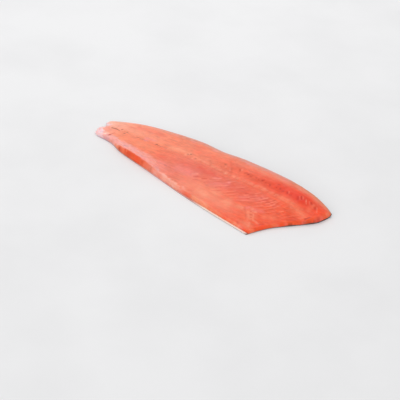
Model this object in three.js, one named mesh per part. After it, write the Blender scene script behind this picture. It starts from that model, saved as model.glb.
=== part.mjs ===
// A skin-on side of sockeye salmon, lying skin down with the cut flesh up.
// Millimetres, +Z up. X runs from the tail to the head along the backbone line, +Y is the back of the fish
// and -Y its belly. The part is two solids, one on the other: the flesh, and the skin under it.
import * as THREE from "three";
import { mergeVertices } from "three/addons/utils/BufferGeometryUtils.js";

// The outline seen from above, as the few points its shape needs, joined by smooth curves.
const BELLY_EDGE = [[15, -18.5], [44, -22], [72, -34], [130, -48.5], [210, -69.5], [275, -83], [333, -93]];
const BACK_EDGE = [
  [6, 17], [9, 26], [28, 35.5], [63, 47], [110, 54], [160, 57.5], [200, 53.5],
  [235, 55.5], [280, 53.5], [325, 50], [365, 42.5], [390, 33], [404, 24],
];
const TAIL_CUT = [[15, -18.5], [7, -12], [5, -4], [11, 5], [6, 17]];
const HEAD_CUT = [[333, -93], [350, -60], [374, -31], [396, -4], [404, 24]];
const MEAN_LENGTH = 375;

// Heights above the board at nine even stations from the tail to the head.
const BELLY_HEIGHT = [5, 8, 9.5, 9.5, 8, 6, 5, 4.5, 5];
const BACKBONE_HEIGHT = [5, 9, 11.5, 13, 14, 14.5, 14.5, 12.5, 7];
const LOIN_HEIGHT = [5, 9.5, 13, 16, 19, 21.5, 22.5, 19.5, 9];
const BACK_HEIGHT = [4.5, 8.5, 11, 12.5, 13.5, 14.5, 15, 13, 7];
const BELLY_EASE = 0.8;
const BACK_STEEPNESS = 1.6;

// Places across the side, as shares of its width from the belly edge to the back edge.
const KNEE_AT = 0.57;
const LOIN_AT = 0.83;
const BACKBONE_AT = [0.6, 0.53, 0.51, 0.54, 0.575, 0.585, 0.61, 0.655, 0.7];
const PIN_BONES_AT = [0.8, 0.78, 0.76, 0.73, 0.71, 0.71, 0.735, 0.785, 0.83];

// The skin, which turns up round the back and shows as a rim there.
const SKIN_THICKNESS = 1;
const GAP = 0.3;
const TURN_WIDTH = 9;
const RIM_HEIGHT = [3.2, 6, 8, 9.5, 10.5, 11, 11.5, 9.5, 4.5];
const RIM_WALL_FROM = 0.8;
const SKIN_SHOWS = [0.5, 0.5, 0.5, 0.5, 1, 1.6, 2, 2, 1.5];

// How far in the flesh is rounded at each edge, and the share of its height that stands up straight there.
const BELLY_BEVEL = [3, 6, 6, 5, 4, 3, 2.5, 2.5, 3];
const BACK_BEVEL = 7;
const HEAD_BEVEL = 5;
const TAIL_BEVEL = 5;
const UPRIGHT_SHARE = 0.2;
const LIP = 1.2;
const THINNEST = 0.4;

// Low relief of the flesh: the depth of each furrow, and its half width in millimetres or in shares.
const SEAM = { depth: 0.8, width: 2.2, reach: 3.5 };
const VALLEY = { depth: 1.2, width: 9, between: 0.55, from: 0.3, full: 0.7 };
const BELLY_HOLLOW = { depth: 1, at: 0.3, width: 0.17, from: 0.36, full: 0.6 };
const RELIEF_FADE = { tail: 0.08, head: 0.06 };

// Mesh steps along and across, each middle stretch between the rounded edges stated for itself.
const STEPS = { along: 46, edge: 4, belly: 9, loin: 4, back: 4, skinFlat: 8, skinTurn: 6 };

const smooth = (from, to, x) => THREE.MathUtils.smoothstep(x, from, to);
const bell = (distance, width) => Math.exp(-((distance / width) ** 2));

// Catmull-Rom curve through evenly spaced values, at a share t from 0 to 1.
function along(values, t) {
  const last = values.length - 1;
  const place = THREE.MathUtils.clamp(t, 0, 1) * last;
  const i = Math.min(Math.floor(place), last - 1);
  const w = place - i;
  const rise = values[i + 1] - values[i];
  const slope0 = (values[i + 1] - values[Math.max(i - 1, 0)]) / 2;
  const slope1 = (values[Math.min(i + 2, last)] - values[i]) / 2;
  return (slope0 + slope1 - 2 * rise) * w ** 3 + (3 * rise - 2 * slope0 - slope1) * w ** 2
    + slope0 * w + values[i];
}

function edge(points) {
  const curve = new THREE.SplineCurve(points.map(([x, y]) => new THREE.Vector2(x, y)));
  curve.arcLengthDivisions = 600;
  return curve;
}

const belly = edge(BELLY_EDGE);
const back = edge(BACK_EDGE);
const tail = edge(TAIL_CUT);
const head = edge(HEAD_CUT);

// The place in the outline at share u from tail to head and v from belly to back: a patch between four edges.
function plan(u, v) {
  return new THREE.Vector2()
    .addScaledVector(belly.getPointAt(u), 1 - v)
    .addScaledVector(back.getPointAt(u), v)
    .addScaledVector(tail.getPointAt(v), 1 - u)
    .addScaledVector(head.getPointAt(v), u)
    .addScaledVector(belly.getPoint(0), -(1 - u) * (1 - v))
    .addScaledVector(back.getPoint(0), -(1 - u) * v)
    .addScaledVector(belly.getPoint(1), -u * (1 - v))
    .addScaledVector(back.getPoint(1), -u * v);
}

const widthAt = (u) => belly.getPointAt(u).distanceTo(back.getPointAt(u));

// Share of a rounded edge's height at a distance in from it: 0 at the edge, 1 where the rounding ends.
function rounding(distance, width) {
  const t = THREE.MathUtils.clamp(distance / width, 0, 1);
  return Math.sqrt(1 - (1 - t) ** 2);
}

const bevel = (distance, width) => UPRIGHT_SHARE + (1 - UPRIGHT_SHARE) * rounding(distance, width);

// Cubic through two heights with given slopes.
function hermite(t, span, h0, h1, slope0, slope1) {
  const rise = 3 * t ** 2 - 2 * t ** 3;
  return (1 - rise) * h0 + rise * h1 + (t ** 3 - 2 * t ** 2 + t) * span * slope0
    + (t ** 3 - t ** 2) * span * slope1;
}

// The crown of the flesh, before its edges are rounded: belly flap, backbone line, thick loin, back.
function crown(u, v) {
  const atBelly = along(BELLY_HEIGHT, u);
  const atBone = along(BACKBONE_HEIGHT, u);
  const atLoin = along(LOIN_HEIGHT, u);
  const atBack = along(BACK_HEIGHT, u);
  const flapSlope = (atBone - atBelly) / KNEE_AT;
  const kneeSlope = (flapSlope + (atLoin - atBone) / (LOIN_AT - KNEE_AT)) / 2;
  const backSlope = (BACK_STEEPNESS * (atBack - atLoin)) / (1 - LOIN_AT);
  if (v < KNEE_AT) return hermite(v / KNEE_AT, KNEE_AT, atBelly, atBone, BELLY_EASE * flapSlope, kneeSlope);
  if (v < LOIN_AT) {
    return hermite((v - KNEE_AT) / (LOIN_AT - KNEE_AT), LOIN_AT - KNEE_AT, atBone, atLoin, kneeSlope, 0);
  }
  return hermite((v - LOIN_AT) / (1 - LOIN_AT), 1 - LOIN_AT, atLoin, atBack, 0, backSlope);
}

// Furrows: the seam over the backbone, the valley beside it, and the hollow that the ribs lined.
function relief(u, v, width) {
  const bone = along(BACKBONE_AT, u);
  const valleyAt = bone + VALLEY.between * (along(PIN_BONES_AT, u) - bone);
  const seam = SEAM.depth * bell((v - bone) * width, SEAM.width);
  const valley = VALLEY.depth * bell((v - valleyAt) * width, VALLEY.width)
    * smooth(VALLEY.from, VALLEY.full, u);
  const hollow = BELLY_HOLLOW.depth * bell(v - BELLY_HOLLOW.at, BELLY_HOLLOW.width)
    * smooth(BELLY_HOLLOW.from, BELLY_HOLLOW.full, u);
  return -(seam + valley + hollow) * smooth(0, RELIEF_FADE.tail, u) * smooth(0, RELIEF_FADE.head, 1 - u);
}

// Height of a surface that lies d above the outer skin: flat on the board, then turned up at the back.
function underside(u, v, d) {
  const width = widthAt(u);
  const t = THREE.MathUtils.clamp((v * width - (width - TURN_WIDTH)) / (TURN_WIDTH - d), 0, 1);
  return d + (along(RIM_HEIGHT, u) - d) * (1 - Math.sqrt(1 - t * t));
}

function fleshTop(u, v) {
  const width = widthAt(u);
  const base = SKIN_THICKNESS + GAP;
  const share = bevel(v * width - along(SKIN_SHOWS, u), along(BELLY_BEVEL, u))
    * bevel((1 - u) * MEAN_LENGTH, HEAD_BEVEL) * bevel(u * MEAN_LENGTH, TAIL_BEVEL);
  const open = base + (crown(u, v) + relief(u, v, width) - base) * share;
  const lip = Math.max(underside(u, v, base) + THINNEST, Math.min(along(RIM_HEIGHT, u) + LIP, open));
  const inward = rounding((1 - v) * width - base, BACK_BEVEL);
  return Math.max(open, lip) * inward + lip * (1 - inward);
}

// Places across the edges and middle of one grid line, closer together where an edge is rounded.
function places(edges, knots, counts) {
  const [first, last] = edges;
  const round = (i) => 1 - Math.cos((Math.PI / 2) * (i / STEPS.edge));
  const result = [];
  for (let i = 0; i < STEPS.edge; i++) result.push(round(i) * first);
  const stops = [first, ...knots, 1 - last];
  counts.forEach((count, k) => {
    for (let i = 0; i < count; i++) result.push(stops[k] + ((stops[k + 1] - stops[k]) * i) / count);
  });
  for (let i = STEPS.edge; i >= 0; i--) result.push(1 - round(i) * last);
  return result;
}

const stations = places([TAIL_BEVEL / MEAN_LENGTH, HEAD_BEVEL / MEAN_LENGTH], [], [STEPS.along]);

// A closed solid between two heights over one grid of the outline.
function slab(rows, topAt, bottomAt) {
  const across = rows[0].length;
  const last = rows.length - 1;
  const positions = [];
  rows.forEach((row) => row.forEach(({ u, v }) => {
    const { x, y } = plan(u, v);
    positions.push(x, y, topAt(u, v), x, y, bottomAt(u, v));
  }));
  const top = (i, j) => 2 * (i * across + j);
  const index = [];
  for (let i = 0; i < last; i++) {
    for (let j = 0; j + 1 < across; j++) {
      const [a, b, c, d] = [top(i, j), top(i + 1, j), top(i + 1, j + 1), top(i, j + 1)];
      index.push(a, b, c, a, c, d, a + 1, c + 1, b + 1, a + 1, d + 1, c + 1);
    }
  }
  const rim = [];
  for (let i = 0; i < last; i++) rim.push(top(i, 0));
  for (let j = 0; j < across - 1; j++) rim.push(top(last, j));
  for (let i = last; i > 0; i--) rim.push(top(i, across - 1));
  for (let j = across - 1; j > 0; j--) rim.push(top(0, j));
  rim.forEach((a, k) => {
    const b = rim[(k + 1) % rim.length];
    index.push(a, a + 1, b + 1, a, b + 1, b);
  });
  const geometry = new THREE.BufferGeometry();
  geometry.setAttribute("position", new THREE.Float32BufferAttribute(positions, 3));
  geometry.setIndex(index);
  return mergeVertices(geometry, 1e-4);
}

function named(name, geometry, color, roughness) {
  geometry.computeVertexNormals();
  const mesh = new THREE.Mesh(geometry, new THREE.MeshStandardMaterial({ color, roughness, metalness: 0 }));
  mesh.name = name;
  return mesh;
}

// The flesh stands a little in from the skin at the belly, and inside its turned-up rim at the back.
// Its grid lines follow the backbone and the pin bones, so the furrows stay clean.
function flesh() {
  const base = SKIN_THICKNESS + GAP;
  const rows = stations.map((u) => {
    const width = widthAt(u);
    const from = along(SKIN_SHOWS, u) / width;
    const to = 1 - base / width;
    const bone = along(BACKBONE_AT, u);
    const furrow = SEAM.reach / width;
    const knots = [bone - furrow, bone, bone + furrow, along(PIN_BONES_AT, u)];
    return places(
      [along(BELLY_BEVEL, u) / width, BACK_BEVEL / width],
      knots.map((v) => (v - from) / (to - from)),
      [STEPS.belly, 1, 1, STEPS.loin, STEPS.back],
    ).map((share) => ({ u, v: from + (to - from) * share }));
  });
  return named("flesh", slab(rows, fleshTop, (u, v) => underside(u, v, base)), 0xf08468, 0.42);
}

function skin() {
  const rows = stations.map((u) => {
    const turnFrom = 1 - TURN_WIDTH / widthAt(u);
    const row = [];
    for (let j = 0; j < STEPS.skinFlat; j++) row.push({ u, v: (turnFrom * j) / STEPS.skinFlat });
    for (let j = 0; j <= STEPS.skinTurn; j++) {
      row.push({ u, v: turnFrom + (1 - turnFrom) * Math.sin((Math.PI / 2) * (j / STEPS.skinTurn)) });
    }
    return row;
  });
  const outer = (u, v) => Math.min(underside(u, v, 0), RIM_WALL_FROM * along(RIM_HEIGHT, u));
  return named("skin", slab(rows, (u, v) => underside(u, v, SKIN_THICKNESS), outer), 0x8d9597, 0.35);
}

const side = new THREE.Group();
side.add(flesh(), skin());

// The part's origin is the middle of its box, on the board.
const box = new THREE.Box3().setFromObject(side, true);
const centre = box.getCenter(new THREE.Vector3());
side.position.set(-centre.x, -centre.y, -box.min.z);

export default side;
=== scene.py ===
"""A raw, skin-on side of sockeye salmon, lying skin down with the cut flesh up, on a plain pale table.

Two bodies make the side. The flesh is one fine closed mesh whose relief carries the seam over the backbone,
the row of pin bones, the muscle leaves, the belly film and the ragged tail end. The skin is a thin closed
sheet under it that turns up round the back. Sizes are in millimetres, in the side's own drawing frame: X from
the tail to the head, Y to the back, Z up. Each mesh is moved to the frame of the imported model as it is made.
"""
import logging
import math
from dataclasses import dataclass, field
from enum import Enum

import bpy
import numpy as np
from mathutils import Matrix, Vector


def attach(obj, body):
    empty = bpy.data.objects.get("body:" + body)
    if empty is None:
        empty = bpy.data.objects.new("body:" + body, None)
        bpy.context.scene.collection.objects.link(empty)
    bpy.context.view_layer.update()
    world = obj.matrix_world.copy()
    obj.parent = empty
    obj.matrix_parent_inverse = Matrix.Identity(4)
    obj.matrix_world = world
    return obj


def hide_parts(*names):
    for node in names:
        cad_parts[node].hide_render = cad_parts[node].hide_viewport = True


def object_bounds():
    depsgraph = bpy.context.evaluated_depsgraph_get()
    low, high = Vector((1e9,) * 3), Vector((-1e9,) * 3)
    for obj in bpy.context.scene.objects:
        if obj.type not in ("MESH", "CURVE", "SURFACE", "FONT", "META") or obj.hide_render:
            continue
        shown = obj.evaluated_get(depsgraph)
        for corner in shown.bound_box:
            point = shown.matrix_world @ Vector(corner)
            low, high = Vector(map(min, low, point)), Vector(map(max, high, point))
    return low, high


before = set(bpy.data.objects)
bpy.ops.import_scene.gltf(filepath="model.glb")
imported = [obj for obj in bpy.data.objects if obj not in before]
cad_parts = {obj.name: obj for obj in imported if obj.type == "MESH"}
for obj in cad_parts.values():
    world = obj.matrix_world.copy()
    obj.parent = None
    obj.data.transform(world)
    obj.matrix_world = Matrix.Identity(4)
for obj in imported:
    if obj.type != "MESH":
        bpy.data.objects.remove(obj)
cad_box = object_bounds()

log = logging.getLogger("salmon_side")

MM = 0.001


def linear(code: str) -> tuple[float, float, float, float]:
    """Turn an sRGB hex code into the linear colour that a shader works in.

    Args:
        code: six hex digits after a hash sign.

    Returns:
        Linear red, green and blue, with an alpha of 1.
    """
    shares = [int(code[i:i + 2], 16) / 255 for i in (1, 3, 5)]
    red, green, blue = (c / 12.92 if c <= 0.04045 else ((c + 0.055) / 1.055) ** 2.4 for c in shares)
    return red, green, blue, 1.0


def add(tree: bpy.types.NodeTree, kind: str, settings: dict) -> bpy.types.Node:
    """Add one node to a material, with its settings and links.

    Args:
        tree: the node tree that gets the node.
        kind: the node's type, without the ShaderNode in front.
        settings: each key is a property of the node, the word stops for a colour ramp, or an input by name
            or number. An input's value is a plain value, or the output socket that is linked to it.

    Returns:
        The new node.
    """
    node = tree.nodes.new("ShaderNode" + kind)
    for key, value in settings.items():
        if key == "stops":
            ramp = node.color_ramp
            while len(ramp.elements) < len(value):
                ramp.elements.new(0.5)
            for element, (place, colour) in zip(ramp.elements, value):
                element.position = place
                element.color = colour
        elif isinstance(key, str) and hasattr(node, key):
            setattr(node, key, value)
        elif isinstance(value, bpy.types.NodeSocket):
            tree.links.new(value, node.inputs[key])
        else:
            node.inputs[key].default_value = value
    return node


def new_material(name: str) -> tuple[bpy.types.Material, bpy.types.NodeTree]:
    """Make an empty node material.

    Args:
        name: the material's name.

    Returns:
        The material, and its node tree with no nodes in it.
    """
    material = bpy.data.materials.new(name)
    material.use_nodes = True
    material.node_tree.nodes.clear()
    return material, material.node_tree


def smooth(start: float, end: float, x: np.ndarray) -> np.ndarray:
    """Ease from 0 at start to 1 at end; start may be the larger."""
    t = np.clip((x - start) / (end - start), 0.0, 1.0)
    return t * t * (3.0 - 2.0 * t)


def between(places: tuple, x: np.ndarray) -> np.ndarray:
    """Ease from 0 to 1 over the first two places, and back to 0 over the last two."""
    return smooth(places[0], places[1], x) * smooth(places[2], places[3], x)


def within(limit: np.ndarray, fade: tuple[float, float], x: np.ndarray) -> np.ndarray:
    """Ease from 1 to 0 round a limit; the fade is how far the ease lies past it and before it."""
    return smooth(limit + fade[0], limit - fade[1], x)


def bell(distance: np.ndarray, width: float | np.ndarray) -> np.ndarray:
    """Bell curve of height 1 that has dropped to 0.37 at the width."""
    return np.exp(-((distance / width) ** 2))


def rounding(distance: np.ndarray, width: float | np.ndarray) -> np.ndarray:
    """Quarter circle's height, 0 at the edge and 1 where the rounding ends."""
    t = np.clip(distance / width, 0.0, 1.0)
    return np.sqrt(1.0 - (1.0 - t) ** 2)


def hermite(t: np.ndarray, span: float, ends: tuple, slopes: tuple) -> np.ndarray:
    """Cubic through two heights with given slopes.

    Args:
        t: share of the way from the first height to the second.
        span: the length of that way.
        ends: the two heights.
        slopes: the slope at each of them.

    Returns:
        The height at t.
    """
    rise = 3 * t ** 2 - 2 * t ** 3
    return ((1 - rise) * ends[0] + rise * ends[1] + (t ** 3 - 2 * t ** 2 + t) * span * slopes[0]
            + (t ** 3 - t ** 2) * span * slopes[1])


@dataclass(frozen=True)
class Profile:
    """Numbers or points at even stations, joined by one smooth curve."""

    values: tuple

    def at(self, share: np.ndarray) -> np.ndarray:
        """Read the curve.

        Args:
            share: places along it, from 0 to 1.

        Returns:
            A number, or a point of two numbers, for each place.
        """
        values = np.asarray(self.values, float)
        last = len(values) - 1
        place = np.clip(np.asarray(share, float), 0.0, 1.0) * last
        i = np.minimum(place.astype(int), last - 1)
        w = place - i
        if values.ndim == 2:
            w = w[..., None]
        rise = values[i + 1] - values[i]
        slope0 = (values[i + 1] - values[np.maximum(i - 1, 0)]) / 2
        slope1 = (values[np.minimum(i + 2, last)] - values[i]) / 2
        return ((slope0 + slope1 - 2 * rise) * w ** 3 + (3 * rise - 2 * slope0 - slope1) * w ** 2
                + slope0 * w + values[i])


class Edge:
    """One edge of the outline, read by its share of length."""

    DIVISIONS = 600

    def __init__(self, *points: tuple[float, float]) -> None:
        """Measure the curve through the points.

        Args:
            points: the places that the edge passes through, in millimetres.
        """
        self.curve = Profile(points)
        self.shares = np.linspace(0.0, 1.0, self.DIVISIONS + 1)
        steps = np.linalg.norm(np.diff(self.curve.at(self.shares), axis=0), axis=1)
        lengths = np.concatenate([[0.0], np.cumsum(steps)])
        self.lengths = lengths / lengths[-1]
        self.ends = np.asarray(points[0], float), np.asarray(points[-1], float)

    def at(self, share: np.ndarray) -> np.ndarray:
        """Give the points at these shares of the edge's length."""
        return self.curve.at(np.interp(share, self.lengths, self.shares))


@dataclass(frozen=True)
class Outline:
    """The side seen from above, as a patch between four edges."""

    belly: Edge = Edge((15, -18.5), (44, -22), (72, -34), (130, -48.5), (210, -69.5), (275, -83), (333, -93))
    back: Edge = Edge((6, 17), (9, 26), (28, 35.5), (63, 47), (110, 54), (160, 57.5), (200, 53.5),
                      (235, 55.5), (280, 53.5), (325, 50), (365, 42.5), (390, 33), (404, 24))
    tail: Edge = Edge((15, -18.5), (7, -12), (5, -4), (11, 5), (6, 17))
    head: Edge = Edge((333, -93), (350, -60), (374, -31), (396, -4), (404, 24))
    mean_length: float = 375.0

    def plan(self, u: np.ndarray, v: np.ndarray) -> np.ndarray:
        """Place the patch's points.

        Args:
            u: shares from the tail to the head.
            v: shares from the belly edge to the back edge.

        Returns:
            X and Y for each of them, in millimetres.
        """
        s, t = u[..., None], v[..., None]
        tail_belly, head_belly = self.belly.ends
        tail_back, head_back = self.back.ends
        sides = ((1 - t) * self.belly.at(u) + t * self.back.at(u)
                 + (1 - s) * self.tail.at(v) + s * self.head.at(v))
        corners = ((1 - s) * (1 - t) * tail_belly + (1 - s) * t * tail_back
                   + s * (1 - t) * head_belly + s * t * head_back)
        return sides - corners

    def width(self, u: np.ndarray) -> np.ndarray:
        """Give the distance from the belly edge to the back edge."""
        return np.linalg.norm(self.back.at(u) - self.belly.at(u), axis=-1)


@dataclass(frozen=True)
class Body:
    """The heights that flesh and skin share, at nine even stations from the tail to the head."""

    outline: Outline = Outline()
    belly_height: Profile = Profile((5, 8, 9.5, 9.5, 8, 6, 5, 4.5, 5))
    backbone_height: Profile = Profile((5, 9, 11.5, 13, 14, 14.5, 14.5, 12.5, 7))
    loin_height: Profile = Profile((5, 9.5, 13, 16, 19, 21.5, 22.5, 19.5, 9))
    back_height: Profile = Profile((4.5, 8.5, 11, 12.5, 13.5, 14.5, 15, 13, 7))
    belly_ease: float = 0.8
    back_steepness: float = 1.6
    knee_at: float = 0.57
    loin_at: float = 0.83
    backbone_at: Profile = Profile((0.6, 0.53, 0.51, 0.54, 0.575, 0.585, 0.61, 0.655, 0.7))
    pin_bones_at: Profile = Profile((0.8, 0.78, 0.76, 0.73, 0.71, 0.71, 0.735, 0.785, 0.83))
    skin_thickness: float = 1.0
    gap: float = 0.3
    turn_width: float = 9.0
    rim_height: Profile = Profile((3.2, 6, 8, 9.5, 10.5, 11, 11.5, 9.5, 4.5))
    rim_wall_from: float = 0.8
    skin_shows: Profile = Profile((0.5, 0.5, 0.5, 0.5, 1, 2.3, 3.0, 3.1, 3.2))

    @property
    def base(self) -> float:
        """Height of the flesh's flat underside."""
        return self.skin_thickness + self.gap

    def underside(self, u: np.ndarray, v: np.ndarray, above: float) -> np.ndarray:
        """Height of a surface over the outer skin: flat on the table, then turned up at the back.

        Args:
            u: shares from the tail to the head.
            v: shares from the belly edge to the back edge.
            above: how far the surface lies above the outer skin, in millimetres.

        Returns:
            The height at each place.
        """
        width = self.outline.width(u)
        t = np.clip((v * width - (width - self.turn_width)) / (self.turn_width - above), 0.0, 1.0)
        return above + (self.rim_height.at(u) - above) * (1 - np.sqrt(1 - t * t))

    def crown(self, u: np.ndarray, v: np.ndarray) -> np.ndarray:
        """Height of the flesh before its edges are rounded: belly flap, backbone line, thick loin, back.

        Args:
            u: shares from the tail to the head.
            v: shares from the belly edge to the back edge.

        Returns:
            The height at each place.
        """
        at_belly, at_bone, at_loin, at_back = (
            p.at(u) for p in (self.belly_height, self.backbone_height, self.loin_height, self.back_height))
        loin_span, back_span = self.loin_at - self.knee_at, 1 - self.loin_at
        flap_slope = (at_bone - at_belly) / self.knee_at
        knee_slope = (flap_slope + (at_loin - at_bone) / loin_span) / 2
        back_slope = self.back_steepness * (at_back - at_loin) / back_span
        flap = hermite(v / self.knee_at, self.knee_at, (at_belly, at_bone),
                       (self.belly_ease * flap_slope, knee_slope))
        loin = hermite((v - self.knee_at) / loin_span, loin_span, (at_bone, at_loin), (knee_slope, 0.0))
        back = hermite((v - self.loin_at) / back_span, back_span, (at_loin, at_back), (0.0, back_slope))
        return np.where(v < self.knee_at, flap, np.where(v < self.loin_at, loin, back))


@dataclass(frozen=True)
class Ripple:
    """Smooth unevenness, as a seeded sum of waves of about one length."""

    seed: int
    size: float
    height: float = 1.0
    stretch: float = 1.0
    waves: int = 14

    def at(self, x: np.ndarray, y: np.ndarray) -> np.ndarray:
        """Read the unevenness.

        Args:
            x: places along the fish, in millimetres.
            y: places across it, in millimetres.

        Returns:
            Values about 0 whose usual size is the height.
        """
        draw = np.random.default_rng(self.seed)
        total = np.zeros(np.broadcast(x, y).shape)
        for _ in range(self.waves):
            angle, phase = draw.uniform(0.0, 2 * math.pi, 2)
            length = self.size * draw.uniform(0.7, 1.5)
            way = x * math.cos(angle) / self.stretch + y * math.sin(angle)
            total += np.sin(2 * math.pi * way / length + phase)
        return self.height * total / math.sqrt(self.waves / 2)


class Trace(Enum):
    """What a small mark on the flesh is."""

    BLOOD = "blood"
    BONE = "bone"
    NICK = "nick"
    FAT = "fat"
    BEAD = "bead"
    FLUSH = "flush"
    PEACH = "peach"
    ROSE = "rose"
    EMBER = "ember"
    MAUVE = "mauve"
    SEPTUM = "septum"
    # Painted shade in the groove beside a leaf's white septum.
    SHADED_CLEFT = "cleft"


@dataclass(frozen=True)
class Mark:
    """A small pit, stroke or blob at one place, lengthwise along its heading."""

    trace: Trace
    x: float
    y: float
    width: float
    length: float = 0.0
    heading: float = 0.0
    rise: float = 0.0
    strength: float = 1.0

    def share(self, x: np.ndarray, y: np.ndarray) -> np.ndarray:
        """How much of the mark is at each place.

        Args:
            x: places along the fish, in millimetres.
            y: places across it, in millimetres.

        Returns:
            1 along the mark's middle, falling to 0 past its ends and sides.
        """
        turn = math.radians(self.heading)
        ahead = (x - self.x) * math.cos(turn) + (y - self.y) * math.sin(turn)
        aside = (y - self.y) * math.cos(turn) - (x - self.x) * math.sin(turn)
        past = np.maximum(np.abs(ahead) - self.length / 2, 0.0)
        return bell(past, self.width) * bell(aside, self.width)


@dataclass
class Slab:
    """A closed body between a fine upper grid and a coarser lower one over the same outline."""

    name: str
    upper: np.ndarray
    lower: np.ndarray
    step: int
    shift: np.ndarray
    values: dict[str, np.ndarray] = field(default_factory=dict)
    crease_angle: float = 50.0

    def faces(self) -> list[list[int]]:
        """Join the two grids into one skin of faces.

        Returns:
            The vertex numbers of every face: quads above and below, and one longer face for each step of
            the wall between them.
        """
        rows, columns = self.upper.shape[0] - 1, self.upper.shape[1] - 1
        high = np.arange((rows + 1) * (columns + 1)).reshape(rows + 1, columns + 1)
        low_rows, low_columns = rows // self.step, columns // self.step
        low = high.size + np.arange((low_rows + 1) * (low_columns + 1)).reshape(low_rows + 1, low_columns + 1)
        top = np.stack([high[:-1, :-1], high[1:, :-1], high[1:, 1:], high[:-1, 1:]], -1).reshape(-1, 4)
        bottom = np.stack([low[:-1, :-1], low[:-1, 1:], low[1:, 1:], low[1:, :-1]], -1).reshape(-1, 4)
        rim, hem = (
            np.concatenate([g[:-1, 0], g[-1, :-1], g[:0:-1, -1], g[0, :0:-1]]).tolist() for g in (high, low))
        wall = []
        for k in range(len(hem)):
            ring = [rim[(k * self.step + i) % len(rim)] for i in range(self.step + 1)]
            wall.append([ring[0], hem[k], hem[(k + 1) % len(hem)], *reversed(ring[1:])])
        return top.tolist() + bottom.tolist() + wall

    def build(self) -> bpy.types.Object:
        """Make the mesh object, with a value of each kind at every vertex.

        Returns:
            The object, linked to the scene.
        """
        points = np.concatenate([self.upper.reshape(-1, 3), self.lower.reshape(-1, 3)]) + self.shift
        mesh = bpy.data.meshes.new(self.name)
        mesh.from_pydata((points * MM).tolist(), [], self.faces())
        for name, grid in self.values.items():
            vector = grid.ndim == 3
            under = grid[::self.step, ::self.step]
            flat = np.concatenate([g.reshape(-1, 3) if vector else g.ravel() for g in (grid, under)])
            attribute = mesh.attributes.new(name, "FLOAT_VECTOR" if vector else "FLOAT", "POINT")
            attribute.data.foreach_set("vector" if vector else "value", flat.astype(np.float32).ravel())
        mesh.validate()
        mesh.shade_smooth()
        mesh.set_sharp_from_angle(angle=math.radians(self.crease_angle))
        piece = bpy.data.objects.new(self.name, mesh)
        bpy.context.scene.collection.objects.link(piece)
        return piece


def eased(edges: tuple[float, float], counts: tuple[int, int]) -> np.ndarray:
    """Shares across a grid line, closer together in the rounded stretch at each end.

    Args:
        edges: the share that the rounding takes at the start and at the end.
        counts: the steps in each rounding, and in the stretch between them.

    Returns:
        Shares from 0 to 1.
    """
    bend = 1 - np.cos(np.linspace(0, math.pi / 2, counts[0] + 1))
    middle = np.linspace(edges[0], 1 - edges[1], counts[1] + 1)
    return np.concatenate([bend[:-1] * edges[0], middle[:-1], 1 - bend[::-1] * edges[1]])


@dataclass(frozen=True)
class Wash:
    """One tone laid over the flesh where a value at the vertices says, broken up by a pattern.

    The breaks are longer than they are wide by the stretch, along a heading in degrees.
    """

    where: str
    colour: str
    strength: float
    break_size: float
    breaks: float
    stretch: float = 1.0
    heading: float = 0.0


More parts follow.
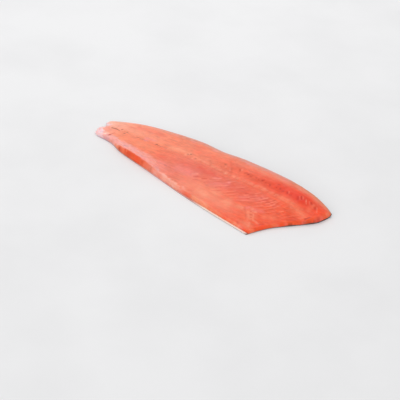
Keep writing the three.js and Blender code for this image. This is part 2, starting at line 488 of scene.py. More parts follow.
@dataclass(frozen=True)
class FreshSalmon:
    """Raw sockeye muscle, cut with a long knife and moist: a soft satin with light going a little way in.

    The knife leaves it smooth, so its gloss is broad and low. Red astaxanthin is strongest at the head end,
    and thin flesh over pale tissue at the tail looks peach.
    """

    loin: tuple = ((0.02, "#fbb29a"), (0.12, "#fc9b7e"), (0.3, "#f48463"), (0.48, "#ed7e5d"),
                   (0.62, "#eb6948"), (0.8, "#ee522b"), (1, "#ef4a20"))
    belly: tuple = ((0.02, "#fca38f"), (0.12, "#f88e6b"), (0.3, "#f37752"), (0.48, "#eb745a"),
                    (0.62, "#ea6f50"), (0.8, "#ef6039"), (1, "#f04e1a"))
    washes: tuple = (
        # crest: a paler band on the loin's crest, partly its own tone and partly painted highlight where it
        # faces the lamp behind.
        Wash("crest", "#f69f80", 0.65, 9, 0.6, 3, -6),
        # valley: deeper red beside the pin bones, with painted shade where the valley faces away from the lamp.
        Wash("valley", "#e82600", 0.97, 12, 0.35, 2, -6),
        Wash("hollow", "#e05742", 0.6, 12, 0.5, 3, 4),
        Wash("flap", "#fc9678", 0.6, 16, 0.5, 2.5, -12),
        Wash("flush", "#ea4a33", 0.8, 12, 0.4),
        Wash("peach", "#ffa47e", 0.85, 7, 0.4),
        Wash("bone_line", "#fb9472", 0.33, 7, 0.9),
        Wash("bead", "#ffa586", 0.7, 4, 0.5),
        Wash("head_cut", "#ff6839", 0.55, 8, 0.5, 2.5, 60),
        Wash("hem", "#ff926c", 0.6, 8, 0.4, 2.5, -17),
        Wash("rim", "#da9482", 0.85, 6, 0.4, 3, -4),
        Wash("head_rim", "#cf8f66", 0.8, 6, 0.4, 3, -12),
        Wash("skirt", "#feb6a3", 0.8, 5, 0.5, 3, -17),
        Wash("film", "#ffbab4", 0.85, 3.2, 0.7, 4, -14),
        Wash("film", "#d79a9f", 0.33, 2.6, 1, 5, -14),
        Wash("side", "#e4500f", 0.9, 4, 0.35, 3, -17),
        Wash("rose", "#f58c8b", 0.85, 7, 0.4),
        Wash("ember", "#ff4a1a", 0.85, 6, 0.3),
        Wash("mauve", "#bc8b9d", 0.8, 4, 0.3),
        Wash("tissue", "#fcd0d2", 0.95, 6, 0.3),
        Wash("fat", "#ffdcc8", 0.9, 5, 0.1),
        Wash("septum", "#ff8b6d", 0.8, 4, 0.2),
        # Painted shade in the groove beside each septum.
        Wash("cleft", "#d23c20", 0.85, 4, 0.2),
        Wash("nick", "#bb260a", 0.92, 4, 0.25),
        Wash("bone", "#bb1c00", 0.95, 4, 0.25),
        Wash("blood", "#752e08", 0.95, 3, 0.12),
    )
    leaf_line: str = "#ff9c80"
    # Painted shade on the falling side of each muscle leaf.
    leaf_shade: str = "#cd4630"
    tone_drifts: tuple = ((21, 21, 0.08), (30, 3.4, 0.08), (11, 5, 0.11))
    grain_size: float = 1.8
    roughness: tuple[float, float] = (0.36, 0.52)
    ior: float = 1.38
    depth: float = 1.3

    def make(self) -> bpy.types.Material:
        """Build the material.

        Returns:
            The material for the flesh.
        """
        material, tree = new_material("fresh_salmon_knife_cut")
        place = add(tree, "Attribute", {"attribute_name": "place"}).outputs["Vector"]
        along = add(tree, "Attribute", {"attribute_name": "along"}).outputs["Fac"]
        upper = add(tree, "Attribute", {"attribute_name": "upper"}).outputs["Fac"]
        tones = [add(tree, "ValToRGB", {0: along, "stops": [(p, linear(c)) for p, c in stops]}).outputs[0]
                 for stops in (self.belly, self.loin)]
        colour = add(tree, "Mix", {"data_type": "RGBA", 0: upper, 6: tones[0], 7: tones[1]}).outputs[2]

        # Muscle tone drifts over a couple of centimetres, as the leaves under the cut come nearer or lie
        # deeper. The knife's long stroke leaves faint streaks along the fish, and fibre ends fleck the cut
        # more finely.
        for along_fish, across_fish, swing in self.tone_drifts:
            laid = add(tree, "VectorMath", {"operation": "DIVIDE", 0: place,
                                            1: (along_fish, across_fish, 1.0)}).outputs[0]
            drift = add(tree, "TexNoise", {"Vector": laid, "Scale": 1.0, "Detail": 4.0,
                                           "Roughness": 0.6}).outputs["Fac"]
            lift = add(tree, "MapRange", {0: drift, 1: 0.3, 2: 0.7, 3: 1 - swing, 4: 1 + swing}).outputs[0]
            colour = add(tree, "Mix", {"data_type": "RGBA", "blend_type": "MULTIPLY", 0: 1.0, 6: colour,
                                       7: lift}).outputs[2]

        for number, wash in enumerate(self.washes):
            there = add(tree, "Attribute", {"attribute_name": wash.where}).outputs["Fac"]
            laid = add(tree, "Mapping", {
                "vector_type": "TEXTURE", "Vector": place, "Location": (37.0 * number, 0.0, 0.0),
                "Rotation": (0.0, 0.0, math.radians(wash.heading)),
                "Scale": (wash.break_size * wash.stretch, wash.break_size, 1.0)}).outputs[0]
            patches = add(tree, "TexNoise", {"Vector": laid, "Scale": 1.0, "Detail": 4.0,
                                             "Roughness": 0.6}).outputs["Fac"]
            kept = add(tree, "MapRange", {0: patches, 1: 0.36, 2: 0.6, 3: wash.strength * (1 - wash.breaks),
                                          4: wash.strength}).outputs[0]
            share = add(tree, "Math", {"operation": "MULTIPLY", "use_clamp": True,
                                       0: there, 1: kept}).outputs[0]
            colour = add(tree, "Mix", {"data_type": "RGBA", 0: share, 6: colour,
                                       7: linear(wash.colour)}).outputs[2]

        # White sheets of connective tissue between the muscle leaves show as pale lines, each followed by
        # painted shade on the leaf's falling side, at the spacing of the fish's own leaves.
        leaves = add(tree, "Attribute", {"attribute_name": "leaves"}).outputs["Fac"]
        shown = add(tree, "Attribute", {"attribute_name": "leaf_show"}).outputs["Fac"]
        saw = add(tree, "Math", {"operation": "FRACT", 0: leaves}).outputs[0]
        for low, middle, high, tone, strength in ((0.0, 0.16, 0.34, self.leaf_line, 0.8),
                                                  (0.3, 0.48, 0.68, self.leaf_shade, 0.75)):
            band = add(tree, "ValToRGB", {0: saw, "stops": [
                (low, (0, 0, 0, 1)), (middle, (strength, strength, strength, 1)),
                (high, (0, 0, 0, 1))]}).outputs[0]
            share = add(tree, "Math", {"operation": "MULTIPLY", 0: band, 1: shown}).outputs[0]
            colour = add(tree, "Mix", {"data_type": "RGBA", 0: share, 6: colour, 7: linear(tone)}).outputs[2]

        # Moisture lies unevenly, so the satin changes from place to place, and fibre ends roughen it.
        wet = add(tree, "TexNoise", {"Vector": place, "Scale": 1 / 9.0, "Detail": 5.0}).outputs["Fac"]
        rough = add(tree, "MapRange", {0: wet, 1: 0.35, 2: 0.65, 3: self.roughness[0],
                                       4: self.roughness[1]}).outputs[0]
        fibres = add(tree, "TexNoise", {"Vector": place, "Scale": 1 / self.grain_size,
                                        "Detail": 3.0}).outputs["Fac"]
        bump = add(tree, "Bump", {"Strength": 0.35, "Distance": 0.12 * MM, "Height": fibres}).outputs[0]
        skin_light = {"Base Color": colour, "Roughness": rough, "IOR": self.ior, "Normal": bump,
                      "Subsurface Weight": 0.3, "Subsurface Scale": self.depth * MM,
                      "Subsurface Radius": (1.0, 0.35, 0.2), "Specular IOR Level": 0.4,
                      "Coat Weight": 0.08, "Coat Roughness": 0.3}
        surface = add(tree, "BsdfPrincipled", skin_light).outputs[0]
        add(tree, "OutputMaterial", {"Surface": surface})
        return material


@dataclass(frozen=True)
class ScaledSkin:
    """Sockeye skin with its scales on: blue grey at the back, silver on the flank and cream at the belly.

    Guanine plates in the scales give a soft metallic silver, and each scale catches the light for itself.
    """

    # The first, darkest stop at the very belly edge is painted contact shadow: it darkens the foot of the skin's
    # wall there.
    tones: tuple = ((0, "#8f7b80"), (0.03, "#e6d9d0"), (0.3, "#bfc2c2"), (0.62, "#98a2a8"),
                    (0.84, "#5c6a75"), (1, "#535c66"))
    strip: tuple = ((0, "#f2e0e2"), (0.03, "#e0bfcc"), (0.1, "#d8a9ae"), (0.16, "#e0a090"),
                    (0.25, "#d88a76"), (0.35, "#f6b6a6"), (0.45, "#f8b4b4"), (0.55, "#f0aa9c"),
                    (0.66, "#dc9a92"), (0.74, "#ffeede"), (0.985, "#ffe8dc"), (1, "#7a5f55"))
    scale_size: float = 2.8
    roughness: float = 0.33

    def make(self) -> bpy.types.Material:
        """Build the material.

        Returns:
            The material for the skin.
        """
        material, tree = new_material("sockeye_skin_scaled")
        place = add(tree, "Attribute", {"attribute_name": "place"}).outputs["Vector"]
        across = add(tree, "Attribute", {"attribute_name": "across"}).outputs["Fac"]
        outer = add(tree, "Attribute", {"attribute_name": "outer"}).outputs["Fac"]
        tone = add(tree, "ValToRGB", {0: across, "stops": [(p, linear(c)) for p, c in self.tones]}).outputs[0]

        # Scales lie in slanting rows, so a scale shows as a diamond a little wider than it is long.
        laid = add(tree, "Mapping", {"vector_type": "POINT", "Vector": place, "Scale": (1.0, 0.8, 0.0),
                                     "Rotation": (0.0, 0.0, math.radians(45.0))}).outputs[0]
        cells = add(tree, "TexVoronoi", {"Vector": laid, "Scale": 1 / self.scale_size, "Randomness": 0.3})
        each = add(tree, "MapRange", {0: cells.outputs["Color"], 1: 0.0, 2: 1.0, 3: 0.92, 4: 1.07}).outputs[0]
        tone = add(tree, "Mix", {"data_type": "RGBA", "blend_type": "MULTIPLY", 0: 1.0, 6: tone,
                                 7: each}).outputs[2]
        along = add(tree, "Attribute", {"attribute_name": "along"}).outputs["Fac"]
        strip = add(tree, "ValToRGB", {0: along, "stops": [(p, linear(c)) for p, c in self.strip]}).outputs[0]
        # Walls blend from the strip at their top to the outer tone at their foot, which along the belly edge is
        # painted contact shadow.
        colour = add(tree, "Mix", {"data_type": "RGBA", 0: outer, 6: strip, 7: tone}).outputs[2]
        shine = add(tree, "MapRange", {0: outer, 1: 0.0, 2: 1.0, 3: 0.0, 4: 0.35}).outputs[0]
        height = add(tree, "MapRange", {0: cells.outputs["Distance"], 1: 0.0, 2: 0.7,
                                        3: 1.0, 4: 0.0}).outputs[0]
        bump = add(tree, "Bump", {"Strength": 0.5, "Distance": 0.2 * MM, "Height": height}).outputs[0]
        surface = add(tree, "BsdfPrincipled", {"Base Color": colour, "Metallic": shine, "IOR": 1.42,
                                               "Roughness": self.roughness, "Normal": bump}).outputs[0]
        add(tree, "OutputMaterial", {"Surface": surface})
        return material


@dataclass(frozen=True)
class HonedStone:
    """A pale honed table top: an even matt white with faint cloudy greys, so it throws soft light back."""

    pale: str = "#ececed"
    cloud: str = "#e8e8e9"
    cloud_size: float = 0.16

    def make(self) -> bpy.types.Material:
        """Build the material.

        Returns:
            The material for the floor.
        """
        material, tree = new_material("pale_table_honed")
        where = add(tree, "TexCoord", {}).outputs["Object"]
        clouds = add(tree, "TexNoise", {"Vector": where, "Scale": 1 / self.cloud_size,
                                        "Detail": 3.0}).outputs["Fac"]
        tone = add(tree, "ValToRGB", {0: clouds, "stops": [(0.35, linear(self.cloud)),
                                                           (0.6, linear(self.pale))]}).outputs[0]
        surface = add(tree, "BsdfPrincipled", {"Base Color": tone, "Roughness": 0.6, "IOR": 1.45,
                                               "Specular IOR Level": 0.3}).outputs[0]
        add(tree, "OutputMaterial", {"Surface": surface})
        return material


@dataclass
class Skin:
    """The skin: flat on the table, turned up round the back, and showing as a strip at the belly."""

    body: Body
    shift: np.ndarray
    finish: ScaledSkin = ScaledSkin()
    rows: int = 200
    flat_columns: int = 56
    turn_columns: int = 24
    step: int = 1

    # The belly edge stands a little off the table along the head half: height, width, and where it comes in.
    undercut: tuple[float, float] = (0.5, 2.0)
    undercut_from: tuple[float, float] = (0.58, 0.72)

    # The inner face is as pale as the strip at the belly and takes the outer tones towards the back: how
    # far, from where across, and from where along.
    inner_back: float = 0.7
    inner_across: tuple[float, float] = (0.6, 0.95)
    inner_along: tuple[float, float] = (0.0, 0.05)

    def build(self) -> bpy.types.Object:
        """Build and dress the skin.

        Returns:
            The skin's object.
        """
        body, outline = self.body, self.body.outline
        u = np.linspace(0.0, 1.0, self.rows + 1)
        turn_from = 1 - body.turn_width / outline.width(u)
        flat = turn_from[:, None] * np.arange(self.flat_columns)[None] / self.flat_columns
        bend = np.sin(np.linspace(0.0, math.pi / 2, self.turn_columns + 1))
        v = np.concatenate([flat, turn_from[:, None] + (1 - turn_from[:, None]) * bend[None]], 1)
        u = np.repeat(u[:, None], v.shape[1], 1)
        xy = outline.plan(u, v)
        inner = body.underside(u, v, body.skin_thickness)
        outer = np.minimum(body.underside(u, v, 0.0), body.rim_wall_from * body.rim_height.at(u))
        height, reach = self.undercut
        outer += height * smooth(reach, 0.0, v * outline.width(u)) * smooth(*self.undercut_from, u)
        upper, lower = (np.concatenate([xy, z[..., None]], -1) for z in (inner, outer))
        slab = Slab("salmon_skin", upper, lower, self.step, self.shift)
        slab.values = {"place": upper, "across": v, "along": u}
        piece = slab.build()
        inside = self.inner_back * smooth(*self.inner_across, v) * smooth(*self.inner_along, u)
        side = np.concatenate([inside.ravel(), np.ones(v.size)])
        attribute = piece.data.attributes.new("outer", "FLOAT", "POINT")
        attribute.data.foreach_set("value", side.astype(np.float32))
        piece.data.materials.append(self.finish.make())
        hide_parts("skin")
        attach(piece, "root")
        return piece


@dataclass
class Flesh:
    """The cut flesh, with the relief and the tones of each of its parts."""

    body: Body
    shift: np.ndarray
    finish: FreshSalmon = FreshSalmon()

    end_rounding: float = 5.0
    back_rounding: float = 7.0
    belly_rounding: Profile = Profile((3, 6, 6, 5, 4, 3, 2.5, 2.5, 3))
    upright_share: float = 0.2
    lip: float = 1.2
    thinnest: float = 0.4

    # Steps of the grid in a rounded edge and between the edges, and how many of them the underside skips.
    row_steps: tuple[int, int] = (8, 400)
    column_steps: tuple[int, int] = (8, 184)
    step: int = 4

    # Furrows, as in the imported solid.
    seam: tuple[float, float] = (0.8, 2.2)
    valley: tuple[float, float] = (1.2, 9.0)
    valley_between: float = 0.55
    hollow: tuple[float, float, float] = (1.0, 0.3, 0.17)

    # Where along the fish the furrows come in: at the tail, at the head, in the valley and in the hollow.
    furrow_tail: tuple[float, float] = (0.0, 0.08)
    furrow_head: tuple[float, float] = (0.0, 0.06)
    valley_from: tuple[float, float] = (0.3, 0.7)
    hollow_from: tuple[float, float] = (0.36, 0.6)

    # Muscle leaves: their spacing along the fish, how steeply they lean back on each side of the backbone
    # line, from where on they are narrower (place, ease and share), how broad the bend at the line is, how
    # they wander and are lost here and there, and the height and shape of each leaf's swell.
    leaf_spacing: float = 10.5
    leaf_lean: tuple = ((225, 1.6), (285, 1.35), (335, 1), (370, 1.35))
    leaf_narrowing: tuple[float, float, float] = (300, 20, 0.14)
    loin_lean: float = 1.2
    leaf_bend: float = 10.0
    leaf_wander: Ripple = Ripple(7, 50, 1.2)
    leaf_gaps: Ripple = Ripple(23, 20)
    leaf_gap_step: float = 41.0
    leaf_swell: float = 0.4
    leaf_crest: float = 0.16
    leaf_fall: float = 0.34
    spine: tuple[float, float] = (9.0, -0.028)

    # How plainly the leaves show: everywhere, over the ribs' hollow (with its ends along the fish and below
    # the backbone line), and below the line at the head end.
    leaf_faint: float = 0.05
    leaf_plain: float = 0.42
    plain_along: tuple = (205, 225, 344, 332)
    plain_below: tuple = (-6, -13, -46, -34)
    leaf_nose: float = 0.25
    nose_from: tuple[float, float] = (335, 345)
    nose_below: tuple[float, float] = (24, 14)

    # Belly film near the tail: where it ends above and where the bare side of the cut starts below it.
    film_top: Profile = Profile((8, 13, 18.5, 20.5, 18, 13, 9, 7, 6))
    film_show: Profile = Profile((1, 1, 0.9, 0.5, 0, 0, 0, 0, 0))
    side_top: Profile = Profile((0.3, 1.5, 5.5, 3.6, 1.6, 4.5, 2.6, 2.5, 2))
    side_show: Profile = Profile((0, 0.6, 1, 0.48, 0.1, 0, 0, 0, 0))
    # Paler band along the loin's crest, partly the flesh's own tone and partly painted highlight where the
    # crest's top faces the lamp high up behind: how far it lies in from the back edge, its width, and how
    # plainly it shows along the fish.
    crest_highlight_from_back: Profile = Profile((6, 10, 14, 17, 20, 21, 19, 13, 5))
    crest_highlight_width: float = 6.5
    crest_highlight_show: Profile = Profile((0, 0, 0.05, 0.12, 0.3, 0.65, 1, 0.9, 0.3))

    # Drier, darker rim along the back: how far it reaches in from the back edge, from where along the fish,
    # and where its tone changes to the head end's.
    rim_reach: Profile = Profile((6, 8, 11, 12, 11, 17, 14.5, 9.5, 3.5))
    rim_from: tuple[float, float] = (0.12, 0.34)
    rim_change: tuple[float, float] = (0.76, 0.86)

    # How far torn white tissue reaches in from the tail end, from the belly edge to the back edge.
    tissue_reach: Profile = Profile((10, 14, 17, 12.5, 9.5, 7, 9, 6, 3))

    # Pale line where the ribs left the backbone: how far it lies on the back's side of the seam.
    bone_line: Profile = Profile((3, 3, 1, 5.5, 4, 1.8, 2.3, 1.9, 2.5))
    bone_line_width: float = 2.4

    # How softly each of these ends, in millimetres past its limit and before it.
    side_fade: tuple[float, float] = (1.1, 0.9)
    film_fade: tuple[float, float] = (4.5, 3.5)
    tissue_fade: tuple[float, float] = (3.5, 1.5)
    rim_fade: tuple[float, float] = (4.5, 5.0)

    # Where along the fish each tone comes in and, where it does, goes out again.
    side_from: tuple[float, float] = (0.13, 0.175)
    film_off_side: tuple[float, float] = (0.09, 0.15)
    valley_shade_along: tuple = (0.7, 0.92, 0.99, 0.89)
    hollow_along: tuple = (0.4, 0.55, 0.9, 0.8)
    flap_along: tuple = (0.48, 0.6, 0.92, 0.76)
    bone_line_along: tuple = (0.3, 0.42, 0.92, 0.84)
    hem_along: tuple = (0.62, 0.72, 0.97, 0.86)
    skirt_along: tuple = (0.33, 0.42, 0.63, 0.57)

    # Place and width across the fish: of the valley's deeper red with its painted shade and of the darker hollow
    # in millimetres, of the flap in shares.
    valley_shade_width: float = 9.0
    hollow_tone: tuple[float, float] = (17, 13)
    flap_tone: tuple[float, float] = (0.16, 0.13)

    # Unevenness: of where tones end, of the whole cut, of the torn tissue and its frayed end, and of the film.
    ragged_ends: Ripple = Ripple(11, 9, 1.6)
    uneven: tuple = (Ripple(3, 34, 0.22, 1.6), Ripple(5, 9, 0.07))
    tissue_lumps: Ripple = Ripple(13, 6, 0.3)
    fray: Ripple = Ripple(19, 5, 0.55)
    fray_reach: float = 9.0
    film_wrinkles: Ripple = Ripple(17, 3.2, 0.09, 2)
    film_thickness: float = 0.35

    # What shows at single places on the cut: the rise of its middle, and for each place x, y, width, length,
    # heading in degrees from the fish's length towards its back, and strength.
    places: tuple = (
        (Trace.BLOOD, -0.25, (
            (26, 9, 1.05, 8, 4, 0.95), (34.6, 8.2, 1, 7, -22, 0.9), (39.3, 11.4, 1.1, 1, 30, 0.75),
            (45.7, 9.1, 1.1, 1, 0, 0.3), (50.7, 8.8, 1, 2.5, 20, 0.65), (50.3, 2.9, 1.2, 1, 0, 0.75),
            (57.1, 5.3, 1.3, 3, 0, 0.3), (73.7, 5.3, 1.1, 3, 30, 0.8), (82, 4.1, 1.3, 6, 10, 0.3),
            (108.1, 5.9, 1.2, 1.5, 30, 0.95), (113.8, 4.7, 1, 7, 0, 0.65), (119, 5.3, 1, 2, 0, 0.45),
            (124.1, 5.5, 1.1, 4, 10, 0.35), (162.7, 10.3, 1.5, 0.5, 0, 0.4),
            (166.4, 12.6, 1.1, 0.5, 0, 0.7), (178.1, 7.6, 1.3, 0.5, 0, 0.4),
            (224.6, 17.5, 1.7, 0.5, 0, 0.4), (151.4, -31.9, 1.6, 2, 0, 0.25),
            (137.4, -48.8, 1.2, 0.6, -48, 0.3), (65.4, -31.2, 1.1, 4.1, -22, 0.3),
            (31.5, -14.5, 1.5, 2, 0, 0.25), (126.3, 44.4, 1.5, 3.8, 8, 0.22), (139, 44.6, 1.5, 5.8, 6, 0.2),
            (151.4, 46.1, 1.5, 4.7, 4, 0.22), (169, 46.3, 1.5, 5.4, 2, 0.2),
            (177.3, 48.2, 1.5, 6.1, 0, 0.22), (184.2, 50, 1.5, 4, -4, 0.2), (370, -35.5, 1.3, 4.2, 47, 0.5),
            (386.9, -16.3, 1.3, 9.9, 49, 0.35), (393.7, -7.7, 1.3, 3.3, 56, 0.3),
            (331.9, 36.1, 1.5, 3.7, 33, 0.25))),
        # Pin bones: the last row of cut bone ends, most of them a leaf apart, deepest where the knife caught.
        (Trace.BONE, -0.12, (
            (250.5, 17, 1.2, 3, -56, 0.7), (261.6, 15.6, 1.1, 4.5, 20, 0.6), (266.2, 14.9, 1.5, 0.5, 0, 1),
            (272, 13.1, 1.5, 1, 0, 0.55), (280.9, 14, 1.5, 1, 0, 0.55), (285.2, 12.8, 1.2, 1, -56, 0.5),
            (292.2, 13.9, 1.6, 2.5, 30, 0.85), (297.8, 11.8, 1.4, 0.5, 0, 0.4),
            (305.7, 11.4, 1.5, 2, -56, 0.8), (316.7, 11.8, 1.4, 0.5, 0, 0.5),
            (316.8, 18.1, 1.4, 2, 30, 0.5), (322.7, 12.7, 1.5, 1, -56, 0.8),
            (328.3, 10.7, 1.3, 1.5, 30, 0.65), (335.4, 11.4, 1.2, 2.5, -56, 0.7),
            (341.6, 9.9, 1.4, 1.5, 30, 0.4), (353.7, 10.6, 1.8, 3.5, -56, 0.6), (358, 13.8, 1, 5, -56, 0.6),
            (363.1, 14.7, 1.3, 1, 0, 0.3), (374, 14.8, 1.6, 3, -56, 0.7), (382.8, 10.6, 1.8, 2, -56, 0.6),
            (396.5, -1.5, 2.4, 1, 54, 0.55))),
        (Trace.NICK, -0.4, (
            (33.5, -11.6, 1.6, 3, 70, 1), (35, -6, 1, 7, 74, 0.5), (384, -12.5, 1.1, 8, 62, 1),
            (351, -16, 0.9, 9, 25, 0.35), (302.5, -49, 0.9, 12, -54, 0.25),
            (310.3, -59.5, 1.1, 17.3, -57, 0.25), (311.8, -47.9, 1.3, 0.5, 0, 0.5),
            (315.8, -53.7, 1.7, 0.5, 0, 0.45), (319.1, -59.2, 1.3, 0.5, 0, 0.45),
            (339.6, -63.9, 1.2, 4.6, 38, 0.5), (311.2, -81.5, 1.5, 4.4, -56, 0.35),
            (345.7, -29, 1.3, 3.5, 34, 0.5), (353.5, -23.5, 1.3, 4.4, 35, 0.3),
            (359.7, -24.1, 1.8, 2.3, 27, 0.4), (364.8, -25.5, 1.2, 13.1, 36, 0.4),
            (368.1, -29.6, 2.4, 10.3, 35, 0.45), (202.7, -27.1, 1.4, 6, 35, 0.4),
            (357.6, 13.8, 0.9, 6, -56, 0.6))),
        # The plainest edges of muscle leaves: white septum, and beside it a groove darkened with painted shade.
        (Trace.SEPTUM, 0.15, (
            (326.8, -16.1, 1.3, 4.3, 37, 0.8), (315.7, -21.1, 1.3, 5.8, 34, 0.7),
            (323.4, -21.3, 1.6, 4.1, 37, 0.6), (330.7, -20.8, 1.6, 5.8, 44, 0.9),
            (325.1, -26.5, 1.3, 7.3, 35, 0.6), (332.3, -17.3, 1.3, 2.5, 55, 0.7),
            (329.4, -12.1, 1.3, 1.5, 45, 0.7), (338, -18.4, 1.3, 5.2, 35, 0.5),
            (336, -23, 1.3, 2.5, 54, 0.6), (314.5, -14.1, 1.5, 5.8, 31, 0.6),
            (301.9, -22.2, 1.3, 12.9, 30, 0.4), (287, -22.2, 1.6, 4.9, 34, 0.5),
            (311.1, -25.9, 1.3, 7.3, 29, 0.4), (299.4, -16.3, 1.6, 2.1, 25, 0.4),
            (293.3, -24.6, 1.3, 1.5, 40, 0.4), (313.3, -31.9, 1.3, 10.1, 35, 0.35),
            (267.9, -13.5, 1.3, 5.9, 37, 0.3), (308.1, -12.6, 1.7, 0.5, 0, 0.5),
            (199, -28.1, 2.1, 2.7, 11, 0.45), (206.5, -29.7, 1.3, 10.3, 36, 0.35),
            (218.2, -25.1, 1.3, 5.9, 33, 0.35), (224.9, -25.9, 1.3, 10.3, 32, 0.35),
            (228.2, -15.1, 1.9, 4, 29, 0.5), (234.6, -11.7, 1.7, 2.8, 25, 0.4),
            (239.5, -26.7, 1.3, 13, 32, 0.3), (243.4, -35.1, 1.3, 13.1, 33, 0.35),
            (204.5, -54.1, 1.9, 5.3, 38, 0.4), (219.7, -42.7, 1.8, 1.6, 68, 0.35),
            (72.6, -32.7, 2.5, 4, -17, 0.45), (126, -46.3, 2.7, 6, -16, 0.4),
            (81.1, -33.6, 1.2, 2.2, -43, 0.5))),
        (Trace.SHADED_CLEFT, -0.2, (
            (329.5, -17.7, 1.3, 4.5, 44, 0.7), (321.7, -19.4, 1.6, 4.8, 37, 0.9),
            (316.4, -17.1, 1.7, 5.5, 31, 0.6), (309.8, -23.8, 1.3, 7.2, 30, 0.35),
            (323.9, -24.7, 1.3, 7.2, 37, 0.6), (333.8, -21.1, 1.6, 3.4, 47, 0.8),
            (328, -10.5, 1.3, 2.2, 43, 0.6), (337.1, -16.2, 1.3, 4.2, 33, 0.4),
            (297.5, -22, 1.5, 5.8, 28, 0.5), (286.3, -19.1, 1.6, 2.6, 30, 0.8),
            (293.8, -17.4, 1.6, 7.1, 35, 0.5), (308.6, -15.7, 1.5, 1.6, -54, 0.6),
            (293.9, -26.9, 1.3, 2.9, 24, 0.4), (312.5, -34.5, 1.3, 8.7, 33, 0.3),
            (274.7, -15.3, 1.3, 5.3, 31, 0.3), (311.1, -29.7, 1.6, 8.3, 33, 0.25),
            (265.7, -11.3, 1.3, 4.6, 33, 0.3), (300.3, -32.8, 1.3, 4.4, 34, 0.25),
            (205.5, -27.1, 1.3, 8.9, 32, 0.35), (215.6, -23.9, 1.5, 6, 29, 0.7),
            (226.7, -22.1, 1.7, 11.5, 30, 0.4), (205.6, -33.3, 1.3, 7, 35, 0.35),
            (226.1, -27.7, 1.3, 13.1, 32, 0.3), (240.4, -29.5, 1.3, 11.7, 32, 0.3),
            (245.3, -36.6, 1.3, 14.4, 34, 0.35), (215, -57.7, 1.7, 6.9, 34, 0.3),
            (261, -24, 1.3, 5.8, 30, 0.4), (236.1, 15.5, 1.6, 27.7, -55, 0.3),
            (237.5, -6.9, 1.7, 3.8, -22, 0.35), (66.6, -31.2, 0.9, 1.6, -46, 0.8),
            (78.7, -33.4, 0.9, 4.2, -53, 0.75), (117, -43.2, 0.9, 3.9, -46, 0.55),
            (87.5, -37, 2.6, 5.4, -18, 0.5), (69.4, -32.7, 1.2, 5, -19, 0.4))),
        (Trace.EMBER, 0, (
            (342.9, -68.5, 5, 1.3, 44, 0.9), (338.5, -76.8, 4, 1.8, 48, 0.15),
            (361.3, -44.8, 2, 5.5, 47, 0.6), (374.7, -13.1, 3.9, 3.8, 54, 0.3),
            (105.3, -41.2, 3.5, 5.9, -15, 0.7), (92.8, -38, 2.3, 7, -14, 0.35),
            (186.6, 26.2, 9, 27.7, 2, 0.2), (232.4, 22.8, 7.3, 16.9, -10, 0.12),
            (289.7, -81.4, 3, 2.5, -4, 0.5), (209, -67.5, 2.6, 21.6, -12, 0.3), (216, 22, 5, 10, 0, 0.25),
            (365, 27, 3.5, 10, -25, 0.35))),
        # Where thin tissue over the cut, or the shaded end of the belly wall, looks mauve.
        (Trace.MAUVE, 0, (
            (28, -19.5, 2, 14.3, -6, 0.6), (74.1, -25.4, 2.1, 4.8, 6, 0.55), (89.8, 3.9, 1.6, 3.4, 48, 0.4),
            (147, -46.5, 2.6, 6.3, -40, 0.4), (109.9, -34.6, 1.3, 1, 22, 0.5))),
        (Trace.FAT, 0.7, (
            (25.6, -12.8, 2.4, 1.5, 70, 1), (28.5, -9.8, 1.6, 1, 0, 0.7))),
        (Trace.BEAD, 0.25, (
            (235.1, 3.4, 2.2, 0.5, 0, 1), (236.2, 12.1, 1.3, 5, -56, 0.5), (228.2, 13.7, 1.4, 1, 30, 0.6),
            (253, 18.2, 1.6, 1, -56, 0.7), (249.5, 2.5, 1.9, 1, -56, 0.9), (257.2, 2.9, 1.6, 3, 30, 0.45),
            (268, 1, 2, 1, 0, 0.5), (279, 1, 2.6, 4, 10, 0.3), (288.8, 1, 1.9, 4, 30, 0.55),
            (302.1, 1.2, 1.8, 3.5, 30, 0.4), (307.5, 0.7, 1.5, 2, 30, 0.3), (315.5, 0.4, 2.8, 4, 10, 0.35),
            (323.6, -0.3, 2, 4, 36, 0.4), (133.9, 12.4, 3, 3, 0, 0.4), (142.4, 13.4, 3.5, 4, 10, 0.5),
            (151.6, 13.2, 3, 4, 0, 0.5), (160.1, 7.6, 2.2, 1, -56, 1), (164.1, 13.6, 1.7, 2, 35, 1),
            (173.1, 5.6, 1.7, 1.5, 30, 0.7), (178, 10.5, 1.6, 2, 30, 0.5), (183.8, 8.2, 2.2, 3, 10, 0.6),
            (193.5, 7.3, 1.8, 3, 10, 0.6), (201.1, 6.4, 1.8, 3, 0, 0.5), (211.1, 4.9, 1.6, 4, 0, 0.6),
            (221.9, 4.6, 1.5, 6, 0, 0.6), (36.8, 14.6, 1.5, 2, 30, 0.8), (49.2, 11, 1.5, 2, 30, 0.6),
            (76, 2.2, 1.4, 2, 30, 0.6), (347.5, -24, 1, 5, 40, 0.6), (198.5, -23, 1.3, 7, 36, 0.9),
            (133, -37, 1.2, 6, 38, 0.9), (107.5, -22, 1, 1.5, 30, 0.6), (111, -24.5, 1, 1, 30, 0.6),
            (337, 12.8, 1, 3, -56, 0.6), (355.5, 12.5, 0.8, 5, -56, 0.6), (359.5, 15.5, 1, 3.5, -56, 0.6),
            (366.7, 12, 0.9, 7, -56, 0.9), (371.5, 13.6, 0.8, 5, -56, 0.5), (386.5, 9.5, 1, 10, -60, 0.6),
            (309.5, -51.4, 1.5, 3.1, -56, 0.5), (314.9, -59.4, 1.5, 6.6, -58, 0.4),
            (318.8, -68.1, 1.5, 2, -58, 0.35), (325.7, -75.5, 1.8, 10.6, -67, 0.4),
            (331.4, -64.7, 2, 6.6, -22, 0.7), (317.6, -45.2, 2.3, 0.5, 0, 0.9),
            (315, -86.6, 2.1, 0.5, 0, 0.8), (355.4, -9.1, 2.6, 0.5, 0, 0.35),
            (135.5, -38.9, 1.3, 3.2, 37, 0.6), (165.7, -53.3, 2.7, 9.3, -25, 0.4))),
